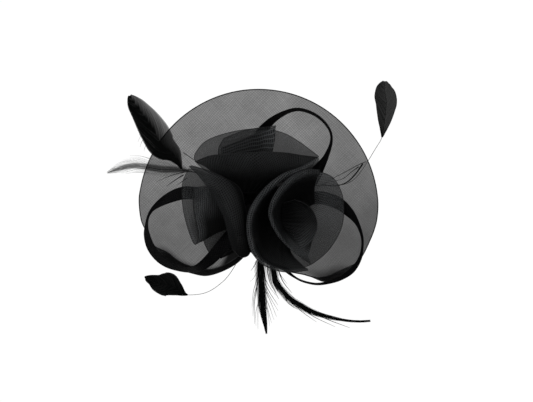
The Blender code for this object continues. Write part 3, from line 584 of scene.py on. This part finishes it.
# Petals ------------------------------------------------------------------------------------------
UPPER_BACK = [
    [(-14, -13, 14), (0, -13, 16), (16, -13, 16)],
    [(-38, -15, 30), (-24, -16.5, 40), (10, -16.5, 46), (40, -16.5, 42), (54, -16, 33)],
    [(-49, -18, 38), (-54.4, -18, 44.5), (-53.6, -18, 52), (-42.5, -19, 64), (-18.7, -20.5, 72.2),
     (8, -22.5, 75.6), (30, -22, 72.4), (47.4, -19, 63.7), (68.3, -16.5, 48.3)],
]
UPPER_FRONT = [
    [(-22, -18, 14), (-4, -18, 12), (16, -18, 14)],
    [(-38, -27, 34), (-12, -31, 32), (18, -30.5, 33), (50, -25.5, 36)],
    [(-54, -23, 43), (-39.2, -29, 48.6), (-24.4, -32, 49.8), (-9.6, -33.5, 51.2), (12, -34, 52),
     (34, -31.5, 51.6), (50, -25.5, 49.3), (67.5, -20, 47.3)],
]
UPPER_TAB = [
    [(-27, -25, 38), (-30.6, -25, 46), (-30.8, -25, 56), (-25.5, -25, 66)],
    [(-4, -25, 38), (-4, -25, 52), (-4, -25, 63), (-4, -25, 74)],
    [(18, -25, 38), (20, -25, 50), (22, -25, 64), (23, -25, 78)],
    [(20, -27, 38), (21.5, -27, 50), (24, -27, 64), (25, -27, 78)],
    [(18, -29, 38), (20, -29, 50), (22, -29, 63), (23, -29, 76)],
    [(-4, -29.5, 38), (-4, -29.5, 47), (-3, -29.5, 57), (-1, -29.5, 67)],
    [(-22, -29.5, 40), (-25, -29.5, 45), (-27, -29.5, 50), (-28, -29.5, 56)],
]
LEFT_PETAL = [
    [(-61, -18, 36), (-50, -17, 34), (-36, -16, 28), (-22, -15, 20)],
    [(-67, -20, 20), (-52, -19, 18), (-38, -18, 14), (-22, -17, 8)],
    [(-66, -21, -4), (-52, -20, -6), (-38, -19, -8), (-22, -18, -8)],
    [(-60, -22, -27), (-48, -21, -25), (-36, -20, -20), (-22, -19, -17)],
    [(-54, -24.5, -39), (-45, -23.5, -35), (-34, -22.5, -29), (-22, -21, -24)],
    [(-51, -27, -28), (-43, -26, -25), (-33, -25, -20), (-22, -23, -17)],
    [(-55.5, -27, -4), (-45, -26, -6), (-34, -25, -8), (-22, -23, -8)],
    [(-56, -26, 17), (-44, -25, 18), (-34, -23, 14), (-22, -21, 8)],
]
LEFT_CONE = [
    [(-60, -27, 38), (-51, -29, 29.6), (-42, -31, 17.8), (-33.2, -32, 3), (-26, -32, -12), (-21.5, -32, -29),
     (-17, -31, -44)],
    [(-58, -29, 39), (-43, -34, 30), (-29, -39, 11), (-20, -41, -10), (-13, -41, -30), (-9, -36, -51)],
    [(-56, -29, 39), (-34, -35, 32), (-18, -39, 20), (-10, -41, 0), (-6, -41, -22), (-2, -36, -50)],
    [(-53, -27, 38), (-24, -30, 27), (-10, -32, 17), (-5, -33, 2), (-2, -34, -18), (2, -33, -44)],
]
LEFT_TAIL = [
    [(-42, -11.5, -16), (-16, -11.5, -12)],
    [(-46.5, -12, -33), (-15, -12, -26)],
    [(-38, -13, -50.5), (-12, -12.5, -42)],
    [(-28, -13, -53), (-11, -12, -45)],
]
ROSE_MIDDLE = (54, -16)
ROSE_BACK = [
    [(14, -15, 2), (12, -15, -12), (14, -15, -26)],
    [(40, -17, 22), (52, -18, 0), (54, -18, -16), (48, -18, -36), (30, -17, -46)],
    [(44, -22, 36), (68, -24, 33), (82, -25, 27), (90, -25, 14), (93, -24, -1), (91, -24, -21),
     (82, -24, -39), (70, -24, -52), (55, -24, -61), (38, -22, -62)],
]
ROSE_OUTER = [
    [(50, -20, 12), (40, -20, -1), (35, -20, -14), (36, -20, -26), (38, -20, -38)],
    [(54, -22, 26), (38, -22.5, 18), (26, -23, 5), (20, -23, -10), (21, -23, -25), (28, -22.5, -38),
     (42, -22, -49)],
    [(64, -25, 38), (49, -29, 28), (35.5, -32, 22), (22, -33.5, 12.5), (13, -34, 1), (8, -34, -12),
     (7.5, -34, -25), (10, -33, -40), (18, -31, -52), (33, -28, -59), (53, -26, -60)],
    [(67, -29, 41.5), (49.6, -33, 31), (36, -38, 25.4), (22.3, -42, 15.3), (11.3, -44, 3.6), (4.5, -44, -9),
     (2.5, -44, -20), (3.5, -43, -34), (7.2, -41, -45.5), (16, -38, -55.5), (29, -34, -61.5),
     (43, -31, -63.5), (57, -29, -62.5)],
]
ROSE_INNER = [
    [(64, -26, 2), (56, -26, -5), (54, -26, -16), (57, -26, -26), (62, -26, -32)],
    [(64, -28, 17), (52, -28.5, 14), (43, -29, 5), (39, -29, -8), (41, -29, -22), (49, -29, -34),
     (60, -28, -42)],
    [(66, -33, 26), (55, -35, 24), (43, -37, 18.5), (33, -39, 8), (28, -40, -5), (29.5, -40, -17),
     (35, -39, -28), (45, -36, -38), (58, -31, -49)],
    [(68, -36, 29.5), (58.5, -41, 28.7), (45.1, -46, 22.9), (34.6, -49, 13.7), (26.7, -51, 3),
     (22.9, -52, -7.5), (24.5, -51.5, -16.5), (28.6, -50, -25.5), (35.6, -46, -35.7), (44.7, -40, -45),
     (53, -33, -52), (60, -28, -57)],
]
ROSE_CORE = [
    [(33, -38, 2), (31, -38, -8), (33, -38.5, -20), (40, -39.5, -29.5)],
    [(43, -36, 5), (52, -36, -2), (56, -36, -12), (57, -36, -22), (54, -36, -32), (48, -37, -39)],
    [(45.2, -41, 5), (54.2, -43, 1.6), (62, -43, -5.8), (65.9, -43, -17.2), (64.9, -43, -26.3),
     (60, -42, -36.1), (52.7, -41, -44)],
]
# The rolled rims: radii along them, how far round they go and in how many steps
OUTER_RADII = (3.2, 3.6, 3.4, 3.2, 3.0, 2.6, 2.0, 1.2)
INNER_RADII = (3.2, 3.8, 3.6, 2.8, 2.2, 1.4, 1.0, 0.8)
OUTER_ROLL = 3.4
INNER_ROLL = 3.2
ROLL_STEPS = 18


def outward_from_rose(point):
    return (point[0] - ROSE_MIDDLE[0], 0, point[2] - ROSE_MIDDLE[1])


def spread(values, along, across):
    """A small table, or one row of it, stretched over a grid: rows run along, columns across."""
    table = np.atleast_2d(values)
    wide = [np.interp(np.linspace(0, 1, across), np.linspace(0, 1, len(row)), row) for row in table]
    return interpolated(np.linspace(0, len(table) - 1, along), np.arange(len(table)), wide)


def petal(node_name, grid, gather_and_shade, edges=("last",), turn=0.0, fan=False):
    """A crin petal in place of its CAD node, with a cord along each of its cut edges.

    gather_and_shade runs from the sewn edge to the free edge, and down its rows along them; it sets the
    cloth's density and the painted shade and painted highlights in its colour. turn lays the threads at
    another angle, in degrees, and fan draws them together where the petal is narrow.
    """
    cloth = flat_lengths(grid)
    if fan:
        cloth[:, :, 1] = np.linspace(0, cloth[:, -1, 1].max(), grid.shape[1])
    c, s = math.cos(math.radians(turn)), math.sin(math.radians(turn))
    cloth = cloth @ np.array([[c, s], [-s, c]])
    density_and_shade = spread(gather_and_shade, *grid.shape[:2])
    piece = grid_piece(f"{node_name}_cloth", grid, "petal", cloth, gather_and_shade=density_and_shade)
    ends = {"first": grid[:, 0], "last": grid[:, -1], "start": grid[0], "end": grid[-1]}
    cord = tubes(f"{node_name}_edge", [edge_path(ends[edge]) for edge in edges], "cord")
    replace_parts(piece, node_name)


def petals():
    # Each petal's table of gather_and_shade paints shade into the crin: near 1 on folds, hollows and the
    # cone's shadowed side, middling on the rolled edges that carry a painted highlight.
    grid = crumple(pleats(loft_grid(UPPER_BACK, 120, 40), 9, 0.9, 0.7), 26, 0.5, 1)
    petal("upper_petal_back", grid, (0.98, 0.6, 0.1, 0.0), ("last", "start", "end"))
    grid = crumple(pleats(loft_grid(UPPER_FRONT, 120, 40), 10, 0.6, 0.6, 2.0), 26, 0.5, 2)
    petal("upper_petal_front", grid, (1, 1, 0.9, 0.78), ("last", "start", "end"))
    petal("upper_tab", crumple(loft_grid(UPPER_TAB, 40, 110), 20, 0.3, 3),
          ((0, 0, 0, 0.4, 0.9, 0.9, 0.88), (0, 0, 0, 0.2, 0.8, 0.8, 0.75)), ("first", "last", "end"), 45)
    petal("left_petal", crumple(loft_grid(LEFT_PETAL, 50, 130), 18, 0.5, 4),
          ((0.0, 0.0, 0.1, 0.3, 0.4, 0.3, 0.0, 0.0), (0.1, 0.1, 0.3, 0.95, 1, 0.97, 0.5, 0.2),
           (0.7, 0.7, 0.8, 1, 1, 1, 0.85, 0.7), (1, 1, 1, 1, 1, 1, 1, 1)), ("first", "last", "start"), 45)
    petal("left_cone", crumple(loft_grid(LEFT_CONE, 110, 60), 24, 0.5, 5),
          ((0.5, 0.6, 0.75, 0.9), (0.65, 0.72, 0.85, 1), (0.7, 0.8, 0.95, 1), (0.93, 1, 1, 1)),
          ("first", "last", "end"), 45, True)
    petal("left_tail", crumple(loft_grid(LEFT_TAIL, 30, 40), 16, 0.3, 6),
          ((0.75, 0.4, 0.5, 1.0), (1.0, 0.97, 1.0, 1.0)), ("start",))
    grid = crumple(pleats(loft_grid(ROSE_BACK, 140, 50), 8, 0.8, 0.6), 26, 0.5, 7)
    petal("rose_back_petal", grid,
          ((1, 1, 0.8, 0.6), (1, 0.95, 0.4, 0.15), (1, 0.95, 0.2, 0.0), (1, 0.95, 0.2, 0.0)))
    grid = pleats(loft_grid(ROSE_OUTER, 140, 46), 13, 0.5, 0.8)
    grid = roll_edge(grid, OUTER_RADII, OUTER_ROLL, ROLL_STEPS, outward_from_rose)
    petal("rose_outer_roll", grid,
          ((1, 1, 1, 1, 0.9, 0.3, 0.3), (1, 1, 1, 1, 0.8, 0.25, 0.3), (1, 1, 1, 1, 0.93, 0.4, 0.5),
           (1, 1, 0.93, 0.86, 0.8, 0.75, 0.85)), turn=45)
    grid = pleats(loft_grid(ROSE_INNER, 130, 44), 11, 0.5, 0.8, 1.0)
    grid = roll_edge(grid, INNER_RADII, INNER_ROLL, ROLL_STEPS, outward_from_rose)
    petal("rose_inner_roll", grid,
          ((1, 1, 1, 1, 0.9, 0.5, 0.5), (1, 1, 1, 1, 0.85, 0.45, 0.5), (1, 1, 1, 0.95, 0.8, 0.45, 0.5),
           (1, 1, 0.5, 0.2, 0.0, 0.0, 0.0)), turn=45)
    petal("rose_core", pleats(loft_grid(ROSE_CORE, 110, 40), 12, 1.0, 0.9),
          ((1, 1, 0.97, 0.85), (1, 0.99, 0.93, 0.85), (0.9, 0.7, 0.5, 0.4)), ("last", "start"))


# Feathers: rows are (x, y, z, width) from the root to the tip --------------------------------------
VANE_STEPS = 400
BARE_QUILL = 1.6  # the vane begins where a feather is wider than this
VANE_CUP = 0.02  # how much the vane bends back towards its edges
FILM_ROWS = 120
FILM_COLS = 24
BARB_POINTS = 7
SHAFT_RADII = (0.4, 0.15)


class Vane:
    """A feather's vane: barbs leave the shaft and end on the outline, reach of the length further on."""

    def __init__(self, rows, reach, shares):
        rows = even(rows, VANE_STEPS)
        self.quill = rows[:, :3]
        rows = even(rows[int(np.argmax(rows[:, 3] > BARE_QUILL)):], VANE_STEPS)
        ahead = unit(np.gradient(rows[:, :3], axis=0))
        self.sideways = unit(np.stack([ahead[:, 2], 0 * ahead[:, 0], -ahead[:, 0]], axis=1))
        self.rows, self.reach, self.shares = rows, reach, shares
        self.length = np.linalg.norm(np.diff(rows[:, :3], axis=0), axis=1).sum()

    def barb(self, place, t, stretch=1.0):
        """Points at t from -1 to 1, left edge to right edge, of the barbs at a place from 0 to 1.

        Places run from the root of the vane, 0, to its tip, 1.
        """
        leaves = place * (1 + self.reach) - self.reach
        start, end = max(leaves, 0), min(leaves + self.reach, 1)
        along = start + (end - start) * np.abs(t)
        index = along * (VANE_STEPS - 1)
        rows = interpolated(index, np.arange(VANE_STEPS), self.rows)
        share = np.where(t < 0, self.shares[0], self.shares[1])
        offset = np.sign(t) * np.abs(t) ** 0.8 * rows[:, 3] / 2 * share * stretch
        sideways = interpolated(index, np.arange(VANE_STEPS), self.sideways)
        points = rows[:, :3] + offset[:, None] * sideways
        points[:, 1] += VANE_CUP * offset ** 2
        return points

    def film(self, name, mat):
        t = np.linspace(-1, 1, FILM_COLS + 1)
        places = np.linspace(0.01, 0.995, FILM_ROWS)
        grid = np.array([self.barb(place, t) for place in places])
        cloth = np.stack(np.broadcast_arrays(places[:, None] * self.length, t[None, :] / 2 + 0.5), axis=2)
        return grid_piece(name, grid, mat, cloth)

    def barbs(self, side, count, width, shortest):
        """Tapered strips lying just in front of and behind the film; shortest is the least spread."""
        made = []
        t = side * np.linspace(0, 1, BARB_POINTS)
        for place in np.linspace(0.03, 0.98, count):
            path = self.barb(min(place + 0.005 * RNG.normal(), 1), t, RNG.uniform(shortest, 1.02))
            path[:, 1] += (0.25 if RNG.random() < 0.5 else -0.25) + 0.05 * RNG.normal()
            made.append((path, width * RNG.uniform(0.6, 1.3)))
        return made


def strips(name, barbs):
    """Flat tapering strips, one for each (points, width)."""
    verts, faces = [], []
    for points, width in barbs:
        flat = unit(np.cross(unit(np.gradient(points, axis=0)), (0, 1, 0)))
        taper = width / 2 * np.linspace(1, 0.25, len(points))[:, None]
        start = len(verts)
        for low, high in zip(points - flat * taper, points + flat * taper):
            verts += [low, high]
        for k in range(start, start + 2 * len(points) - 2, 2):
            faces.append((k, k + 1, k + 3, k + 2))
    return placed(name, smooth_mesh(name, verts, faces), "feather")


# Each feather: rows, reach of the barbs, shares of the width to the left and right, film material, barbs as
# (count, width, least spread) on the left and right, radius of the quill at its root and tip
FEATHERS = {
    "feather_upper_left": (
        [(-30, -13, 22, 1.2), (-50, -14, 31, 1.2), (-66, -15.5, 35, 1.5), (-70.8, -17, 43, 8),
         (-76.5, -18, 51, 18), (-86.8, -18, 59, 27.5), (-94, -18, 71.5, 29), (-101.8, -19, 83.8, 25.5),
         (-108.4, -19, 93.2, 20.5), (-114, -19, 100.5, 16), (-117.5, -20, 106, 9), (-119, -20, 109, 3)],
        0.5, (1.0, 1.0), "streaked", (110, 0.5, 0.95), (36, 0.22, 0.9), (0.3, 0.1)),
    "feather_left_wispy": (
        [(-26, -10.3, 20, 1.2), (-45, -10.8, 30, 1.2), (-60, -12, 33.5, 3), (-72, -13, 34.8, 16),
         (-88, -14.5, 35.4, 20), (-104, -16, 37.9, 18), (-115.7, -17, 38.7, 16), (-125.3, -17.5, 37.1, 13.5),
         (-133.5, -18, 34.6, 8), (-141.7, -18, 31.8, 1.2)],
        0.3, (0.85, 1.15), "wispy", (45, 0.16, 0.75), (55, 0.16, 0.8), (0.45, 0.1)),
    "feather_upper_right": (
        [(56, -16, 19, 1), (72, -16.5, 19.5, 1), (86, -17, 20, 1), (95, -17, 21, 1), (105, -17, 27, 1),
         (116, -17, 42, 1), (124, -18, 55, 1), (130.2, -19, 65.4, 1.2), (132.2, -19, 74.3, 6.8),
         (133.5, -19.5, 84, 13.5), (134.7, -20, 95.1, 19), (135.2, -20, 102.2, 21.4), (134, -20, 109.3, 21.4),
         (133.2, -20, 115, 17.5), (133.3, -20, 119.5, 12), (133.6, -20, 123, 4)],
        0.3, (1.0, 1.0), "paddle", (60, 0.25, 0.97), (50, 0.2, 0.97), (0.32, 0.2)),
    "feather_lower_left": (
        [(-6, -5, -35, 0.9), (-11, -5.2, -50, 0.9), (-14.9, -5.5, -60.4, 0.9), (-22.8, -6, -72, 0.9),
         (-30.1, -8, -78.9, 0.9), (-38.4, -9.5, -84.7, 0.9), (-46.6, -10.5, -88, 0.9), (-56, -11, -89.3, 0.9),
         (-62.5, -11, -89.2, 2), (-66.7, -11, -87.5, 6.5), (-72.5, -11.5, -83.7, 14.5),
         (-80.2, -12, -79.5, 23.5), (-86.1, -12, -78.7, 22.5), (-91.9, -12, -77.3, 18),
         (-97.7, -12, -74.5, 11), (-102.8, -12, -73, 6), (-104.5, -12, -73.3, 3)],
        0.3, (1.0, 1.0), "pad", (70, 0.5, 0.95), (70, 0.5, 0.95), (0.3, 0.2)),
    "hackle_straight": (
        [(6, -14.5, -36, 1.2), (9, -15, -50, 1.8), (10.6, -15.5, -58, 14), (11.2, -16, -72, 13),
         (11.8, -16, -88, 12), (12.8, -16, -103, 9.5), (15, -16, -116, 5), (16.5, -16, -128, 1.4)],
        0.6, (1.0, 1.0), "hackle", (110, 0.45, 0.3), (110, 0.45, 0.3), (0.7, 0.3)),
    "hackle_curved": (
        [(12, -16.5, -38, 1.2), (19, -19.5, -52, 1.8), (23, -24, -62, 13), (26.3, -24, -76, 14),
         (32.5, -23, -84.5, 12), (42, -22, -94, 12), (52, -21, -100, 11), (62, -20, -105.3, 9),
         (80, -19, -111, 5.5), (100, -18, -114.6, 3.5), (112, -18, -115, 3), (119.5, -18, -114.5, 2.5)],
        0.4, (0.6, 1.0), "hackle", (150, 0.5, 0.1), (150, 0.5, 0.1), (0.9, 0.4)),
}
QUILLS = {
    "quill_left": [(-66, -20, 52), (-54, -21, 44), (-44, -21.5, 38), (-34, -21.5, 30)],
    "quill_right": [(115, -14.8, 43), (107, -14.8, 39.5), (95, -15, 33), (80, -15.5, 25), (60, -15.5, 12.5)],
}
# Loose barbs that have parted from their vane: (points, width)
LOOSE_BARBS = {
    "hackle_straight": [
        ([(7.5, -15, -54), (4.5, -15.5, -60), (0.8, -16, -65.6)], 1.0),
        ([(10, -16, -60), (4, -16, -72), (0, -16, -76)], 0.6),
        ([(15, -16, -78), (20.5, -16, -88), (28, -16, -99.5)], 0.8),
        ([(15, -16, -84), (21, -16, -97), (26.5, -16, -111)], 0.7),
        ([(15, -16, -92), (18, -16, -104), (21.5, -16, -117)], 0.7),
        ([(7, -16, -82), (4.5, -16, -98), (4.6, -16, -118)], 0.8),
        ([(8.5, -16, -90), (8, -16, -106), (8, -16, -123)], 0.7),
        ([(10, -16, -92), (6, -16, -106), (6, -16, -120)], 0.6),
        ([(14, -16, -70), (20, -16, -82), (29, -16, -93)], 0.6),
        ([(14, -16, -80), (21, -16, -93), (28, -16, -105)], 0.7),
        ([(14, -16, -88), (19.5, -16, -101), (24, -16, -114)], 0.7),
        ([(15, -16, -96), (18, -16, -108), (19.5, -16, -120)], 0.6),
        ([(8, -16, -70), (3.5, -16, -86), (2, -16, -102)], 0.7),
        ([(8, -16, -76), (4, -16, -92), (3, -16, -110)], 0.8),
    ],
    "hackle_curved": [
        ([(17, -17, -58), (19, -17.5, -74), (26, -18, -88)], 1.1),
        ([(18, -17, -60), (21, -17.5, -76), (28.5, -18, -93)], 0.8),
        ([(28, -18, -64), (33, -18, -76), (41.5, -18, -87)], 1.2),
        ([(26, -18, -60), (31, -18, -70), (37, -18, -78)], 0.8),
        ([(40, -18, -95), (52, -18, -106), (66, -18, -115.8)], 0.9),
        ([(50, -18, -101), (64, -18, -111), (84.5, -18, -120.6)], 0.9),
        ([(58, -18, -104), (76, -18, -113), (99, -18, -121.6)], 1.1),
        ([(34, -18, -89), (38, -18, -97), (44, -18, -102)], 0.8),
    ],
    "feather_left_wispy": [
        ([(-64, -12, 33), (-78, -12.5, 29.5), (-92, -13, 23.5)], 0.9),
        ([(-66, -12, 30), (-74, -12.5, 25), (-83, -13, 18.5)], 1.2),
        ([(-62, -12, 27), (-68, -12.5, 23), (-73, -13, 19.5)], 0.8),
        ([(-96, -15.5, 45), (-108, -16, 48.5), (-119, -16.5, 49)], 0.4),
        ([(-100, -15.5, 32), (-112, -16, 32.5), (-124, -16.5, 31)], 0.4),
    ],
    "feather_upper_left": [
        ([(-104, -18, 67), (-107, -18, 63), (-109, -18, 57)], 0.5),
        ([(-101, -18, 62), (-104, -18, 57), (-105, -18, 53)], 0.5),
        ([(-106, -18, 72), (-109, -18, 67), (-111, -18, 62)], 0.4),
    ],
    "feather_upper_right": [
        ([(112, -15.5, 41), (105, -15.5, 31), (96, -15.5, 22.5), (84, -15.5, 18.8), (70, -15.5, 21)], 1.6),
        ([(108, -15.5, 38), (101, -15.5, 33), (92, -15.5, 26), (80, -15.5, 23)], 0.9),
    ],
}


def tapered(points, thick, thin):
    return np.hstack([points, np.linspace(thick, thin, len(points))[:, None]])


def feathers():
    for name, (rows, reach, shares, film, left, right, radii) in FEATHERS.items():
        vane = Vane(rows, reach, shares)
        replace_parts(vane.film(f"{name}_vane", film), name)
        loose = [(even(points, 12), width) for points, width in LOOSE_BARBS.get(name, ())]
        strips(f"{name}_barbs", vane.barbs(-1, *left) + vane.barbs(1, *right) + loose)
        tubes(f"{name}_quill", [tapered(vane.quill[::5] + (0, 0.5, 0), *radii)], "quill")
    for name, points in QUILLS.items():
        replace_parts(tubes(f"{name}_shaft", [tapered(even(points, 40), *SHAFT_RADII)], "quill"), name)


# Kept CAD nodes ----------------------------------------------------------------------------------
def finishes():
    """Better materials on the felt, thread and metal nodes, whose shapes are kept."""
    kinds = {
        "felt": ("felt_base_front", "felt_base_back"),
        "thread": ("centre_stitch_upper", "centre_stitch_lower", *(f"plate_stitch_{k}" for k in range(1, 5))),
        "steel": ("finding_plate", "clip_fixed_jaw", "clip_moving_jaw", "clip_pivot", "brooch_bar",
                  "brooch_rivet", "brooch_pin", "safety_catch"),
        "spring": ("clip_spring",),
    }
    for mat, names in kinds.items():
        for name in names:
            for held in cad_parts[name].material_slots:
                held.material = MATERIALS[mat]


# Stage -------------------------------------------------------------------------------------------
SEEN_WHITE = 1.02  # the background and floor, as the camera sees them
WORLD_LIGHT = 0.07
FLOOR_SHADE = 0.85  # how pale the floor is to light that falls on it


def aimed(obj, place, target):
    obj.location = place
    obj.rotation_euler = (Vector(target) - Vector(place)).to_track_quat("-Z", "Y").to_euler()
    bpy.context.scene.collection.objects.link(obj)
    return obj


def softbox(name, place, size, power):
    light = bpy.data.lights.new(name, "AREA")
    light.shape = "DISK"
    light.size = size
    light.energy = power
    aimed(bpy.data.objects.new(name, light), place, (0, 0, 0))


def bright_where_seen(tree, seen, otherwise):
    """A strength that is one value where the camera sees a surface and another where light does."""
    path = node(tree, "ShaderNodeLightPath")
    return between(tree, path.outputs["Is Camera Ray"], 0, 1, otherwise, seen)


def stage():
    world = bpy.data.worlds.new("studio")
    bpy.context.scene.world = world
    world.use_nodes = True
    background = world.node_tree.nodes["Background"]
    background.inputs[0].default_value = (1, 1, 1, 1)
    strength = bright_where_seen(world.node_tree, SEEN_WHITE, WORLD_LIGHT)
    world.node_tree.links.new(strength, background.inputs[1])

    mesh = bpy.data.meshes.new("floor")
    bm = bmesh.new()
    bmesh.ops.create_grid(bm, x_segments=1, y_segments=1, size=30)
    bmesh.ops.translate(bm, vec=(0, 0, FLOOR_Z), verts=bm.verts)
    bm.to_mesh(mesh)
    bm.free()
    floor = bpy.data.objects.new("floor", mesh)
    white = (1, 1, 1, 1)
    mat, tree, shader = blank("pale_floor", Roughness=0.9, Specular_IOR_Level=0.0, Emission_Color=white)
    shade = bright_where_seen(tree, 0.0, FLOOR_SHADE)
    glow = bright_where_seen(tree, SEEN_WHITE, 0.0)
    mesh.materials.append(wired(mat, shader, Base_Color=shade, Emission_Strength=glow))
    bpy.context.scene.collection.objects.link(floor)

    softbox("key_left", (-0.7, -1.1, 1.0), 0.7, 16)
    softbox("fill_right", (0.9, -1.2, 0.4), 0.9, 6)
    softbox("top_back", (0.1, 0.6, 1.2), 0.6, 8)

    lens = bpy.data.cameras.new("camera")
    lens.sensor_width = SENSOR * 1000
    lens.lens = LENS * 1000
    distance = LENS / SENSOR * VIEW_WIDTH
    place = Vector(VIEW_CENTRE) - Vector((0, distance, 0))
    bpy.context.scene.camera = aimed(bpy.data.objects.new("camera", lens), place, VIEW_CENTRE)
    bpy.context.scene.view_settings.view_transform = "Standard"
    bpy.context.scene.cycles.transparent_max_bounces = 32


stage()
veil()
loops()
petals()
feathers()
finishes()
